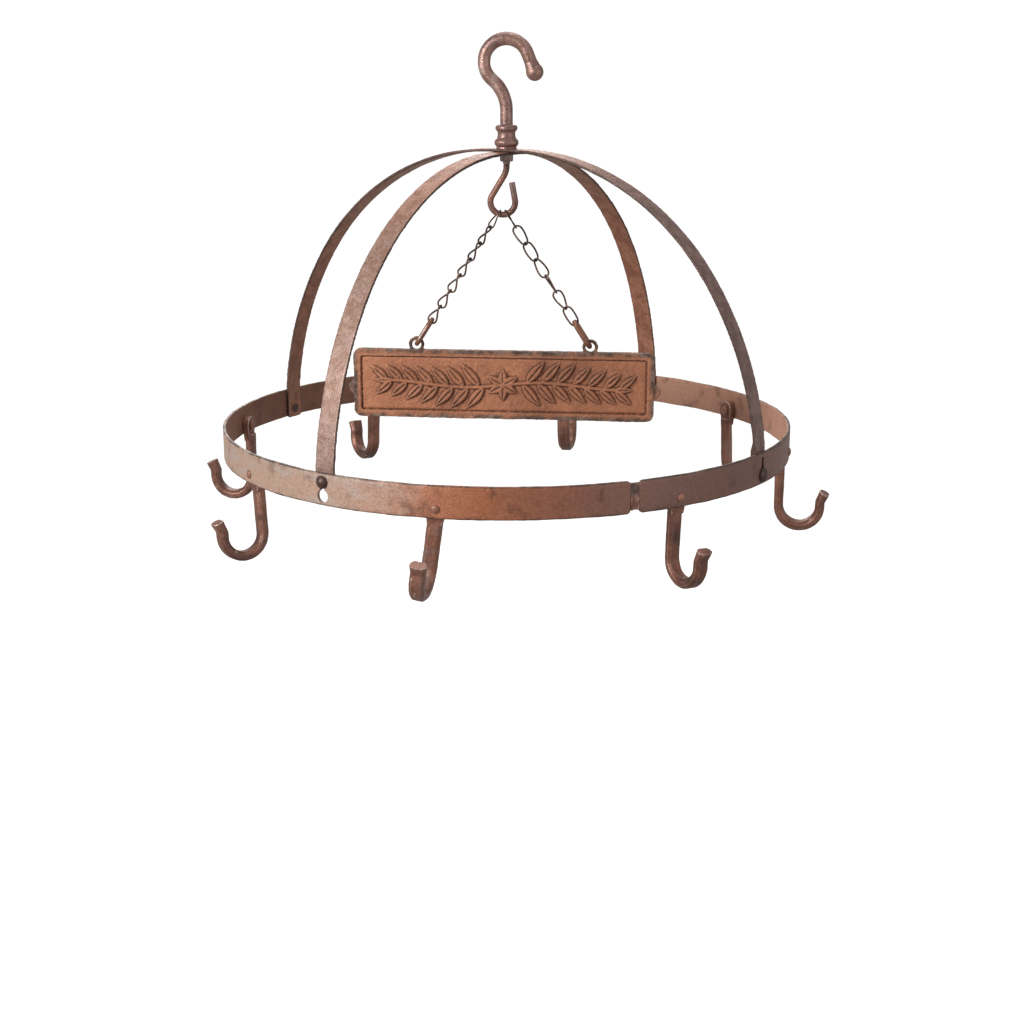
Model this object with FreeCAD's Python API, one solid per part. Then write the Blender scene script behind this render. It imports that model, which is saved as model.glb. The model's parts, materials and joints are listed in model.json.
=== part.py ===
"""Hanging dome rack for drying herbs and flowers, with a cast sign on two chains.

Frame: millimetres, +Z up. The origin is the point inside the top hook where the
ceiling hook bears. The sign's length runs along X and its face looks towards -Y.
Each piece is written to parts/NODE.step.
"""
import FreeCAD, Part
import math
import os

from FreeCAD import Vector

# ---- ring band ----
RING_R = 200.0            # outer radius
RING_THICK = 2.0
RING_HEIGHT = 21.0
RING_TOP = -256.5         # height of the band's top edge
RING_IN = RING_R - RING_THICK
SPLICE_ANGLE = -60.7      # where the band's two ends meet
SPLICE_GAP = 6.0
SPLICE_STRIP = (24.0, 17.0, 1.6)   # length, height, thickness of the backing strip
SPLICE_RECESS = 0.7       # the weld in the gap lies this far behind the band's face

# ---- keyholes for the dome straps ----
KEY_HOLE_R = 4.2
KEY_HOLE_DROP = 15.0      # below the band's top edge
KEY_SLOT_W = 3.2
KEY_SLOT_DROP = 4.2

# ---- dome straps ----
STRAP_W = 15.0
STRAP_THICK = 2.0
UPPER_STRAP_TURN = -27.0  # directions of the two straps, from +X
LOWER_STRAP_TURN = 61.0
STRAP_FACE_R = 197.8      # outer face of a strap's foot
CROWN_TOP = -68.5         # top face of the upper strap on the axis
FOOT_LEAN = 6.5           # degrees the strap leans inwards above its foot
FOOT_BEND_R = 30.0
SIDE_R = 230.0
CROWN_FLAT = 9.5          # half length of the flat where the straps cross
UPPER_STUD_DROP = KEY_HOLE_DROP
LOWER_STUD_DROP = 5.8
UPPER_FOOT = 7.0          # a strap's foot ends this far below its stud
LOWER_FOOT = 5.2
STUD_SHANK_R = 2.0
STUD_HEAD = 3.2           # height of a stud's head

# ---- top hook ----
ROD_R = 4.4
EYE_R = 15.3              # centreline radius of the hook's bow
TIP_ANGLE = 22.0          # where the bow turns into the straight tip
TIP_LENGTH = 13.3
BALL_R = 6.0
TIP_FLARE = 6.5           # length over which the tip widens to the ball
STEM_TOP = -43.0          # the stem is straight below this height
COLLAR_TOP = -52.3
BEADS = ((-54.6, 7.7, 2.2), (-64.3, 8.3, 2.7))   # height, radius, half height
WAIST_R = 6.1
THREAD_R = 2.5
THREAD_TOP = -59.0

# ---- nut and lower hook ----
NUT_FLATS = 8.0
NUT_HEIGHT = 4.5
WIRE_R = 2.15             # lower hook
BOWL_X = -2.6
BOWL_R = 8.6
BOWL_Z = -104.6
NECK_Z = -80.0            # the stud's straight wire ends here
NECK_R = 14.0
POINT_LEAN = 10.4
POINT_LENGTH = 12.2

# ---- chains ----
LINKS = 7                 # small links in each chain
LINK_WIRE_R = 0.55
LINK_LOOP_R = 3.05        # centreline radius of a small link's loops
FIRST_LOOP_R = 4.4        # the top link's upper loop passes round the lower hook
LINK_GAP = 0.12
CHAIN_START = 1.6         # the two chains' tops lie this far each side of the bowl's centre
TIE_WIRE_R = 1.65
TIE_WIDTH = 10.0
TIE_LENGTH = 20.35

# ---- sign ----
SIGN_L = 214.0
SIGN_H = 49.2
SIGN_TOP = -208.2
SIGN_BACK = 3.4           # thickness of the field
SIGN_RIM = 1.6            # the rim stands this far proud of the field
RIM_WIDTH = 5.0
SIGN_CORNER_R = 5.5
EAR_X = 61.6
EAR_RISE = 3.4            # ear centre above the sign's top edge
EAR_R = 5.5
EAR_HOLE_R = 3.4
EAR_THICK = 2.4
WIRE_IN_EAR = 0.55        # the tie link's wire lies this far above the hole's centre

# ---- swivelling hooks ----
HOOK_ANGLES = (-6.5, 35.7, 82.3, 129.5, 173.5, 218.5, 263.5, 309.0)
HOOK_LEANS = (3.0, -4.0, -1.0, 2.0, 0.0, 7.0, -8.0, -2.5)
RIVET_DROP = 15.0
RIVET_R = 2.0
RIVET_FIT = 0.06
TAB_R = 6.9
TAB_THICK = 4.4
TAB_FACE_R = 197.55
SHANK = (10.0, 6.4, 2.0)  # width, depth, chamfer
SHANK_TOP_DROP = 21.0
HOOK_BEND_R = 14.2
HOOK_BOTTOM_DROP = 71.0
HOOK_LEG = 3.5
HOOK_FLARE = 7.5
FLARE_ANGLE = 24.0

Z_AXIS = Vector(0, 0, 1)
ORIGIN = Vector(0, 0, 0)


def save(name, shape):
    """Write one piece, and say what it is."""
    solids = shape.Solids
    clean = solids[0] if len(solids) == 1 else Part.makeCompound(solids)
    clean.exportStep(f"parts/{name}.step")
    print(f"{name}: {len(solids)} solid, valid {clean.isValid()}, {clean.Volume:.0f} mm3")


def around(shape, angle):
    """A copy turned about the vertical axis."""
    copy = shape.copy()
    copy.rotate(ORIGIN, Z_AXIS, angle)
    return copy


def polar(centre, radius, angle):
    """A point in the XZ plane, at an angle in degrees from +X towards +Z."""
    a = math.radians(angle)
    return Vector(centre.x + radius * math.cos(a), 0, centre.z + radius * math.sin(a))


def arc(centre, radius, start, end):
    """An arc in the XZ plane between two angles in degrees."""
    middle = (start + end) / 2
    return Part.Arc(polar(centre, radius, start), polar(centre, radius, middle),
                    polar(centre, radius, end)).toShape()


def line(a, b):
    return Part.LineSegment(a, b).toShape()


def round_bar(edges, radius, start, direction):
    """A round bar along joined edges, from a disc at its start."""
    path = Part.Wire(edges)
    disc = Part.Wire(Part.makeCircle(radius, start, direction))
    return path.makePipeShell([disc], True, False)


def radial_cylinder(radius, r_from, r_to, z, angle=0.0):
    """A cylinder whose axis points out from the vertical axis."""
    pin = Part.makeCylinder(radius, r_to - r_from, Vector(r_from, 0, z), Vector(1, 0, 0))
    return around(pin, angle)


def dome_button(r_from, height, radius, z):
    """A low domed head on a radial axis. A negative height faces the vertical axis."""
    rim = 0.35 * height
    rise = height - rim
    ball = (radius ** 2 + rise ** 2) / (2 * rise)
    half = math.asin(radius / abs(ball)) / 2
    middle = (height - ball * (1 - math.cos(half)), abs(ball) * math.sin(half))
    points = [(0, 0), (0, radius), (rim, radius), middle, (height, 0)]
    verts = [Vector(r_from + h, 0, z + r) for h, r in points]
    crown = Part.Arc(verts[2], verts[3], verts[4]).toShape()
    outline = [line(verts[0], verts[1]), line(verts[1], verts[2]), crown, line(verts[4], verts[0])]
    return Part.Face(Part.Wire(outline)).revolve(Vector(r_from, 0, z), Vector(1, 0, 0), 360)


# ---------------------------------------------------------------- ring

def foot_angles():
    """Where the straps' four feet stand, the upper strap's first and third."""
    return [UPPER_STRAP_TURN, LOWER_STRAP_TURN, UPPER_STRAP_TURN + 180, LOWER_STRAP_TURN + 180]


def keyhole(angle):
    """The cutter for one keyhole: a round hole with a narrow slot up to near the top edge."""
    hole = radial_cylinder(KEY_HOLE_R, RING_IN - 2, RING_R + 2, RING_TOP - KEY_HOLE_DROP)
    slot_h = KEY_HOLE_DROP - KEY_SLOT_DROP
    slot = Part.makeBox(RING_THICK + 4, KEY_SLOT_W, slot_h,
                        Vector(RING_IN - 2, -KEY_SLOT_W / 2, RING_TOP - KEY_HOLE_DROP))
    top = radial_cylinder(KEY_SLOT_W / 2, RING_IN - 2, RING_R + 2, RING_TOP - KEY_SLOT_DROP)
    return around(hole.fuse(slot).fuse(top), angle)


def ring_band():
    outer = Part.makeCylinder(RING_R, RING_HEIGHT, Vector(0, 0, RING_TOP - RING_HEIGHT))
    inner = Part.makeCylinder(RING_IN, RING_HEIGHT + 2, Vector(0, 0, RING_TOP - RING_HEIGHT - 1))
    band = outer.cut(inner)
    gap = Part.makeBox(20, SPLICE_GAP, RING_HEIGHT + 4,
                       Vector(RING_IN - 10, -SPLICE_GAP / 2, RING_TOP - RING_HEIGHT - 2))
    cutters = [around(gap, SPLICE_ANGLE)]
    cutters += [keyhole(a) for a in foot_angles()]
    cutters += [radial_cylinder(RIVET_R + RIVET_FIT, RING_IN - 2, RING_R + 2,
                                RING_TOP - RIVET_DROP, a) for a in HOOK_ANGLES]
    return band.cut(Part.makeCompound(cutters))


def ring_splice():
    """The weld in the gap, with the strip behind it that bridges the band's ends."""
    length, height, thick = SPLICE_STRIP
    middle = RING_TOP - RING_HEIGHT / 2
    face = RING_IN - 0.5
    strip = Part.makeBox(thick, length, height, Vector(face - thick, -length / 2, middle - height / 2))
    weld_w = SPLICE_GAP - 0.1
    depth = RING_R - SPLICE_RECESS - face + 0.5
    weld = Part.makeBox(depth, weld_w, height, Vector(face - 0.5, -weld_w / 2, middle - height / 2))
    return around(strip.fuse(weld).removeSplitter(), SPLICE_ANGLE)


# ---------------------------------------------------------------- straps

def strap(top, foot_end, end_round):
    """One half-hoop: two vertical feet, leaning sides and a crown, as a flat bar."""
    bend_z = RING_TOP + 2.0
    lean = math.radians(FOOT_LEAN)
    bend_c = Vector(STRAP_FACE_R - FOOT_BEND_R, 0, bend_z)
    shift = FOOT_BEND_R - SIDE_R
    side_c = bend_c + Vector(shift * math.cos(lean), 0, shift * math.sin(lean))
    rise = top - side_c.z
    reach = CROWN_FLAT - side_c.x
    crown_r = (SIDE_R ** 2 - reach ** 2 - rise ** 2) / (2 * (SIDE_R - rise))
    crown_c = Vector(CROWN_FLAT, 0, top - crown_r)
    meet = math.degrees(math.atan2(crown_c.z - side_c.z, reach))

    def rail(inset):
        foot = line(Vector(STRAP_FACE_R - inset, 0, foot_end), Vector(STRAP_FACE_R - inset, 0, bend_z))
        return [foot,
                arc(bend_c, FOOT_BEND_R - inset, 0, FOOT_LEAN),
                arc(side_c, SIDE_R - inset, FOOT_LEAN, meet),
                arc(crown_c, crown_r - inset, meet, 90),
                line(Vector(CROWN_FLAT, 0, top - inset), Vector(0, 0, top - inset))]

    outer = rail(0.0)
    inner = rail(STRAP_THICK)
    ends = [line(Vector(STRAP_FACE_R, 0, foot_end), Vector(STRAP_FACE_R - STRAP_THICK, 0, foot_end)),
            line(Vector(0, 0, top), Vector(0, 0, top - STRAP_THICK))]
    face = Part.Face(Part.Wire(Part.__sortEdges__(outer + inner + ends)))
    half = face.extrude(Vector(0, STRAP_W, 0))
    half.translate(Vector(0, -STRAP_W / 2, 0))
    corners = [e for e in half.Edges
               if abs(e.CenterOfMass.z - foot_end) < 1e-3 and abs(e.Length - STRAP_THICK) < 1e-3
               and abs(abs(e.CenterOfMass.y) - STRAP_W / 2) < 1e-3]
    half = half.makeFillet(end_round, corners)
    whole = half.fuse(half.mirror(ORIGIN, Vector(1, 0, 0))).removeSplitter()
    crown_hole = Part.makeCylinder(THREAD_R + 0.1, 8, Vector(0, 0, top - 5))
    return whole.cut(crown_hole)


def finished_strap(top, stud_drop, foot, end_round, turn):
    stud_z = RING_TOP - stud_drop
    bar = strap(top, stud_z - foot, end_round)
    for side in (0, 180):
        bar = bar.cut(radial_cylinder(STUD_SHANK_R + 0.05, RING_IN - 6, RING_R, stud_z, side))
    return around(bar, turn)


def strap_stud(stud_drop, shoulder_r, head_r, angle):
    """A stud through a strap's foot and the band's keyhole, with a head at each end."""
    z = RING_TOP - stud_drop
    inside = STRAP_FACE_R - STRAP_THICK
    shank = radial_cylinder(STUD_SHANK_R, inside - 0.5, RING_IN - 0.05, z)
    shoulder = radial_cylinder(shoulder_r, STRAP_FACE_R + 0.05, RING_R + 0.5, z)
    head = dome_button(RING_R + 0.02, STUD_HEAD, head_r, z)
    tail = dome_button(inside - 0.02, -1.5, 3.6, z)
    return around(shank.fuse([shoulder, head, tail]).removeSplitter(), angle)


# ---------------------------------------------------------------- top hook and lower hook

def top_hook():
    """A bent rod with a ball tip, on a turned collar with two beads and a blind bore."""
    bow_c = Vector(0, 0, ROD_R - EYE_R)
    drop = bow_c.z - STEM_TOP
    back_r = (drop ** 2 - EYE_R ** 2) / (2 * EYE_R)
    back_c = Vector(-back_r, 0, STEM_TOP)
    meet = math.degrees(math.atan2(bow_c.z - back_c.z, bow_c.x - back_c.x))
    tip_start = polar(bow_c, EYE_R, TIP_ANGLE)
    tip = math.radians(TIP_ANGLE)
    ball_c = tip_start + Vector(math.sin(tip), 0, -math.cos(tip)) * TIP_LENGTH
    stem_end = Vector(0, 0, COLLAR_TOP - 1)
    path = [line(stem_end, Vector(0, 0, STEM_TOP)),
            arc(back_c, back_r, 0, meet),
            arc(bow_c, EYE_R, 180 + meet, TIP_ANGLE),
            line(tip_start, ball_c)]
    rod = round_bar(path, ROD_R, stem_end, Z_AXIS)
    tip_way = Vector(math.sin(tip), 0, -math.cos(tip))
    ball = Part.makeSphere(BALL_R, ball_c)
    flare = Part.makeCone(ROD_R - 0.05, BALL_R * 0.93, TIP_FLARE, ball_c - tip_way * (TIP_FLARE + 1.0), tip_way)
    return rod.fuse([ball, flare, collar()]).cut(thread_bore()).removeSplitter()


def collar():
    """The turned collar as one revolved outline."""
    (z1, r1, h1), (z2, r2, h2) = BEADS
    steps = [line(Vector(0, 0, COLLAR_TOP), Vector(ROD_R + 0.6, 0, COLLAR_TOP)),
             line(Vector(ROD_R + 0.6, 0, COLLAR_TOP), Vector(r1 - 1.4, 0, z1 + h1)),
             Part.Arc(Vector(r1 - 1.4, 0, z1 + h1), Vector(r1, 0, z1), Vector(r1 - 1.4, 0, z1 - h1)).toShape(),
             Part.Arc(Vector(r1 - 1.4, 0, z1 - h1), Vector(WAIST_R, 0, (z1 - h1 + z2 + h2) / 2),
                      Vector(r2 - 1.6, 0, z2 + h2)).toShape(),
             Part.Arc(Vector(r2 - 1.6, 0, z2 + h2), Vector(r2, 0, z2), Vector(r2 - 1.6, 0, z2 - h2)).toShape(),
             line(Vector(r2 - 1.6, 0, z2 - h2), Vector(r2 - 1.2, 0, CROWN_TOP)),
             line(Vector(r2 - 1.2, 0, CROWN_TOP), Vector(0, 0, CROWN_TOP)),
             line(Vector(0, 0, CROWN_TOP), Vector(0, 0, COLLAR_TOP))]
    return Part.Face(Part.Wire(steps)).revolve(ORIGIN, Z_AXIS, 360)


def thread_bore():
    depth = THREAD_TOP + 0.5 - CROWN_TOP
    return Part.makeCylinder(THREAD_R + 0.03, depth + 1, Vector(0, 0, CROWN_TOP - 1))


def nut_top():
    return CROWN_TOP - 2 * STRAP_THICK


def hex_nut():
    across = NUT_FLATS / math.cos(math.radians(30)) / 2
    corners = [Vector(across * math.cos(math.radians(60 * i)), across * math.sin(math.radians(60 * i)), 0)
               for i in range(6)]
    blank = Part.Face(Part.makePolygon(corners + [corners[0]])).extrude(Vector(0, 0, -NUT_HEIGHT))
    blank.translate(Vector(0, 0, nut_top()))
    cone = Part.makeCone(across * 0.9, across * 1.35, NUT_HEIGHT, Vector(0, 0, nut_top() - NUT_HEIGHT))
    bore = Part.makeCylinder(THREAD_R + 0.03, NUT_HEIGHT + 2, Vector(0, 0, nut_top() - NUT_HEIGHT - 1))
    return blank.common(cone).cut(bore)


def inner_tangent(c1, r1, c2, r2):
    """Direction of the straight line that crosses over from one circle to the next, in degrees."""
    gap = c2 - c1
    return math.degrees(math.atan2(gap.z, gap.x) - math.asin((r1 + r2) / gap.Length))


def chain_hook():
    """A threaded stud that runs down into a small open hook of round wire."""
    bowl_c = Vector(BOWL_X, 0, BOWL_Z)
    neck_c = Vector(-NECK_R, 0, NECK_Z)
    heading = inner_tangent(neck_c, NECK_R, bowl_c, BOWL_R)
    point = polar(bowl_c, BOWL_R, POINT_LEAN)
    lean = math.radians(POINT_LEAN)
    end = point + Vector(-math.sin(lean), 0, math.cos(lean)) * POINT_LENGTH
    stud_end = nut_top() - NUT_HEIGHT - 1.5
    start = Vector(0, 0, stud_end + 1)
    path = [line(start, Vector(0, 0, NECK_Z)),
            arc(neck_c, NECK_R, 0, heading + 90),
            line(polar(neck_c, NECK_R, heading + 90), polar(bowl_c, BOWL_R, heading - 90)),
            arc(bowl_c, BOWL_R, heading - 90, POINT_LEAN),
            line(point, end)]
    wire = round_bar(path, WIRE_R, start, Vector(0, 0, -1))
    stud = Part.makeCylinder(THREAD_R, THREAD_TOP - stud_end, Vector(0, 0, stud_end))
    return wire.fuse(stud).removeSplitter()


# ---------------------------------------------------------------- chains

def ear_centre(side):
    return Vector(BOWL_X + side * EAR_X, 0, SIGN_TOP + EAR_RISE)


def chain_run(side):
    """The start point, unit direction and length of one chain's straight run."""
    seat_r = BOWL_R - WIRE_R - LINK_WIRE_R - LINK_GAP
    seat_z = BOWL_Z - math.sqrt(seat_r ** 2 - CHAIN_START ** 2)
    start = Vector(BOWL_X + side * CHAIN_START, 0, seat_z)
    to_ear = ear_centre(side) - start
    direction = Vector(to_ear).normalize()
    return start, direction, to_ear.Length - WIRE_IN_EAR


def link_length():
    """Wire centre to wire centre of a small link, so that the links fill the run."""
    run = chain_run(1)[2]
    small_overlap = 2 * LINK_WIRE_R + LINK_GAP
    tie_overlap = LINK_WIRE_R + TIE_WIRE_R + LINK_GAP
    return (run - TIE_LENGTH + tie_overlap + (LINKS - 1) * small_overlap) / LINKS


def link_start(index):
    """Distance along the run to the top wire of a small link."""
    return index * (link_length() - 2 * LINK_WIRE_R - LINK_GAP)


def tie_start():
    return link_start(LINKS - 1) + link_length() - LINK_WIRE_R - TIE_WIRE_R - LINK_GAP


def twisted_path(length, top_r, low_r):
    """Points of a closed link, whose lower loop is turned a quarter turn from its upper one."""
    turns = [math.radians(a) for a in range(-90, 91, 30)]
    upper = [(top_r * math.sin(a), top_r * (1 - math.cos(a))) for a in turns]
    lower = [(low_r * math.sin(-a), length - low_r * (1 - math.cos(a))) for a in turns]
    outline = upper + side_points(upper[-1], lower[0]) + lower + side_points(lower[-1], upper[0])
    outline = outline[3:] + outline[:3]
    points = []
    for across, down in outline:
        part = down / length
        turn = math.pi / 2 * (3 * part ** 2 - 2 * part ** 3)
        points.append(Vector(-across * math.sin(turn), across * math.cos(turn), -down))
    return points


def side_points(a, b):
    """Two points that divide the straight side of a link's outline."""
    return [(a[0] + (b[0] - a[0]) * f, a[1] + (b[1] - a[1]) * f) for f in (1 / 3, 2 / 3)]


def twisted_link(length, top_r):
    """A twisted link, swept in two halves that meet at its ends."""
    curve = Part.BSplineCurve()
    curve.interpolate(Points=twisted_path(length, top_r, LINK_LOOP_R), PeriodicFlag=True)
    first, last = curve.FirstParameter, curve.LastParameter
    middle = (first + last) / 2
    halves = []
    for begin, end in ((first, middle), (middle, last)):
        disc = Part.makeCircle(LINK_WIRE_R, curve.value(begin), curve.tangent(begin)[0])
        path = Part.Wire(curve.toShape(begin, end))
        halves.append(path.makePipeShell([Part.Wire(disc)], True, False))
    return halves[0].fuse(halves[1]).removeSplitter()


def oval_link(length, width, radius):
    """A flat oval link in the YZ plane, its top wire's centre at the origin."""
    half = width / 2
    top = Vector(0, 0, -half)
    low = Vector(0, 0, -length + half)
    side = Vector(0, half, 0)
    upper = Part.Arc(top - side, Vector(0, 0, 0), top + side).toShape()
    lower = Part.Arc(low + side, Vector(0, 0, -length), low - side).toShape()
    path = Part.Wire([upper, line(top + side, low + side), lower, line(low - side, top - side)])
    disc = Part.Wire(Part.makeCircle(radius, top - side, Z_AXIS))
    tube = path.makePipeShell([disc], False, False)
    return Part.Solid(Part.Shell(tube.Faces))


def hang(link, side, distance):
    """A link made straight down from the origin, moved to its place on a chain."""
    start, direction, _ = chain_run(side)
    lean = math.degrees(math.atan2(direction.x, -direction.z))
    placed = link.copy()
    placed.rotate(ORIGIN, Vector(0, -1, 0), lean)
    placed.translate(start + direction * distance)
    return placed


# ---------------------------------------------------------------- sign

def rounded_slab(length, height, thick, corner, top, y_front):
    slab = Part.makeBox(length, thick, height, Vector(BOWL_X - length / 2, y_front, top - height))
    edges = [e for e in slab.Edges if abs(e.Length - thick) < 1e-6 and abs(e.tangentAt(0).y) > 0.99]
    return slab.makeFillet(corner, edges)


def sign_plate():
    """A cast plate with a raised rim, two ears on top and a small lug at each end."""
    thick = SIGN_BACK + SIGN_RIM
    front = -thick / 2
    slab = rounded_slab(SIGN_L, SIGN_H, thick, SIGN_CORNER_R, SIGN_TOP, front)
    field = rounded_slab(SIGN_L - 2 * RIM_WIDTH, SIGN_H - 2 * RIM_WIDTH, SIGN_RIM,
                         2.0, SIGN_TOP - RIM_WIDTH, front)
    plate = slab.cut(field)
    for side in (-1, 1):
        centre = ear_centre(side)
        back = centre - Vector(0, EAR_THICK / 2, 0)
        ear = Part.makeCylinder(EAR_R, EAR_THICK, back, Vector(0, 1, 0))
        hole = Part.makeCylinder(EAR_HOLE_R, thick + 4, centre - Vector(0, thick / 2 + 2, 0), Vector(0, 1, 0))
        plate = plate.fuse(ear).cut(hole)
    plate = plate.fuse([end_lug(-1), end_lug(1)])
    return plate.removeSplitter()


def end_lug(side):
    """A small pointed lug in the middle of one end."""
    edge = BOWL_X + side * (SIGN_L / 2 - 0.5)
    middle = SIGN_TOP - SIGN_H * 0.56
    reach = side * (5.6 if side > 0 else 4.6)
    outline = [Vector(edge, -1.4, middle + 6.5), Vector(edge + reach, -1.4, middle + 1.5),
               Vector(edge + reach * 0.85, -1.4, middle - 2.5), Vector(edge, -1.4, middle - 7.0)]
    return Part.Face(Part.makePolygon(outline + [outline[0]])).extrude(Vector(0, 2.8, 0))


# ---------------------------------------------------------------- swivelling hooks

def chamfered_section(width, depth, chamfer):
    """Corner offsets of a chamfered rectangle, width along Y and depth along X."""
    a = depth / 2
    b = width / 2
    c = chamfer
    return [(a, b - c), (a - c, b), (c - a, b), (-a, b - c), (-a, c - b), (c - a, -b), (a - c, -b), (a, c - b)]


def section_at(centre, outward, scale=1.0):
    """The shank's section at a point, in the plane of Y and the outward direction."""
    corners = [centre + outward * (x * scale) + Vector(0, y * scale, 0) for x, y in chamfered_section(*SHANK)]
    return Part.makePolygon(corners + [corners[0]])


def drying_hook():
    """A J-hook on its rivet tab, pointing straight out along +X before it is turned."""
    width, depth, _ = SHANK
    shank_r = TAB_FACE_R - 0.1 - depth / 2
    rivet_z = RING_TOP - RIVET_DROP
    shank_top = RING_TOP - SHANK_TOP_DROP
    bend_z = RING_TOP - HOOK_BOTTOM_DROP + depth / 2 + HOOK_BEND_R
    bend_c = Vector(shank_r + HOOK_BEND_R, 0, bend_z)
    start = Vector(shank_r, 0, shank_top)
    leg_low = polar(bend_c, HOOK_BEND_R, 0)
    leg_top = leg_low + Vector(0, 0, HOOK_LEG)
    flare = math.radians(FLARE_ANGLE)
    tip_way = Vector(math.sin(flare), 0, math.cos(flare))
    tip = leg_top + tip_way * HOOK_FLARE
    path = Part.Wire([line(start, polar(bend_c, HOOK_BEND_R, 180)),
                      arc(bend_c, HOOK_BEND_R, 180, 360),
                      line(leg_low, leg_top)])
    bar = path.makePipeShell([section_at(start, Vector(1, 0, 0))], True, False)
    tip_out = Vector(math.cos(flare), 0, -math.sin(flare))
    end = Part.makeLoft([section_at(leg_top, Vector(1, 0, 0)), section_at(tip, tip_out, 1.08)], True, True)
    tab = tab_plate(rivet_z, shank_top, width)
    hole = radial_cylinder(RIVET_R + RIVET_FIT, TAB_FACE_R - 12, RING_R, rivet_z)
    return bar.fuse([end, tab]).cut(hole).removeSplitter()


def tab_plate(rivet_z, shank_top, width):
    """A flat round tab about the rivet that narrows to the shank and overlaps its top."""
    face_x = TAB_FACE_R - TAB_THICK
    low = shank_top - 5.0
    disc = Part.makeCylinder(TAB_R, TAB_THICK, Vector(face_x, 0, rivet_z), Vector(1, 0, 0))
    half = width / 2 - 0.2
    shoulder = TAB_R * 0.98
    outline = [Vector(face_x, shoulder, rivet_z - 1.2), Vector(face_x, half, low),
               Vector(face_x, -half, low), Vector(face_x, -shoulder, rivet_z - 1.2)]
    neck = Part.Face(Part.makePolygon(outline + [outline[0]])).extrude(Vector(TAB_THICK - 0.1, 0, 0))
    return disc.fuse(neck)


def hook_rivet():
    """A rivet through the band and a hook's tab. The tab turns on it."""
    z = RING_TOP - RIVET_DROP
    tail_face = TAB_FACE_R - TAB_THICK - 0.25
    shank = radial_cylinder(RIVET_R, tail_face - 0.6, RING_R + 0.4, z)
    head = dome_button(RING_R + 0.02, 1.5, 2.9, z)
    tail = dome_button(tail_face, -1.6, 3.6, z)
    return shank.fuse([head, tail]).removeSplitter()


def placed_hook(shape, angle, lean):
    """A hook turned on its rivet by its lean, then set at its place on the ring."""
    turned = shape.copy()
    turned.rotate(Vector(0, 0, RING_TOP - RIVET_DROP), Vector(1, 0, 0), lean)
    return around(turned, angle)


def print_hinges():
    """The heights of the chain's hinge lines."""
    start, direction, _ = chain_run(1)
    print(f"bowl x {BOWL_X}, first hinge z {start.z - LINK_WIRE_R:.3f}")
    for i in range(1, LINKS):
        distance = link_start(i) + LINK_WIRE_R + LINK_GAP / 2
        print(f"link {i + 1} hinge z {start.z + direction.z * distance:.3f}")
    print(f"tie hinge z {start.z + direction.z * (tie_start() + TIE_WIRE_R + LINK_GAP / 2):.3f}")
    print(f"sign hinge z {start.z + direction.z * (tie_start() + TIE_LENGTH):.3f}")


def main():
    os.makedirs("parts", exist_ok=True)
    save("top_hook", top_hook())
    save("ring_band", ring_band())
    save("ring_splice", ring_splice())
    save("upper_strap", finished_strap(CROWN_TOP, UPPER_STUD_DROP, UPPER_FOOT, 2.0, UPPER_STRAP_TURN))
    save("lower_strap", finished_strap(CROWN_TOP - STRAP_THICK, LOWER_STUD_DROP, LOWER_FOOT, 4.5,
                                       LOWER_STRAP_TURN))
    for i, angle in enumerate(foot_angles()):
        if i % 2 == 0:
            stud = strap_stud(UPPER_STUD_DROP, KEY_HOLE_R - 0.1, 4.9, angle)
        else:
            stud = strap_stud(LOWER_STUD_DROP, KEY_SLOT_W / 2 - 0.05, 4.2, angle)
        save(f"strap_stud_{i + 1}", stud)
    save("hex_nut", hex_nut())
    save("chain_hook", chain_hook())
    hook = drying_hook()
    rivet = hook_rivet()
    for i, angle in enumerate(HOOK_ANGLES):
        save(f"drying_hook_{i + 1}", placed_hook(hook, angle, HOOK_LEANS[i]))
        save(f"hook_rivet_{i + 1}", around(rivet, angle))
    length = link_length()
    tie = oval_link(TIE_LENGTH, TIE_WIDTH, TIE_WIRE_R)
    for name, side in (("left", -1), ("right", 1)):
        for i in range(LINKS):
            link = twisted_link(length, FIRST_LOOP_R if i == 0 else LINK_LOOP_R)
            save(f"chain_link_{name}_{i + 1}", hang(link, side, link_start(i)))
        save(f"tie_link_{name}", hang(tie, side, tie_start()))
    save("sign_plate", sign_plate())
    print_hinges()


main()
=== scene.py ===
import itertools
import json
import math

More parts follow.
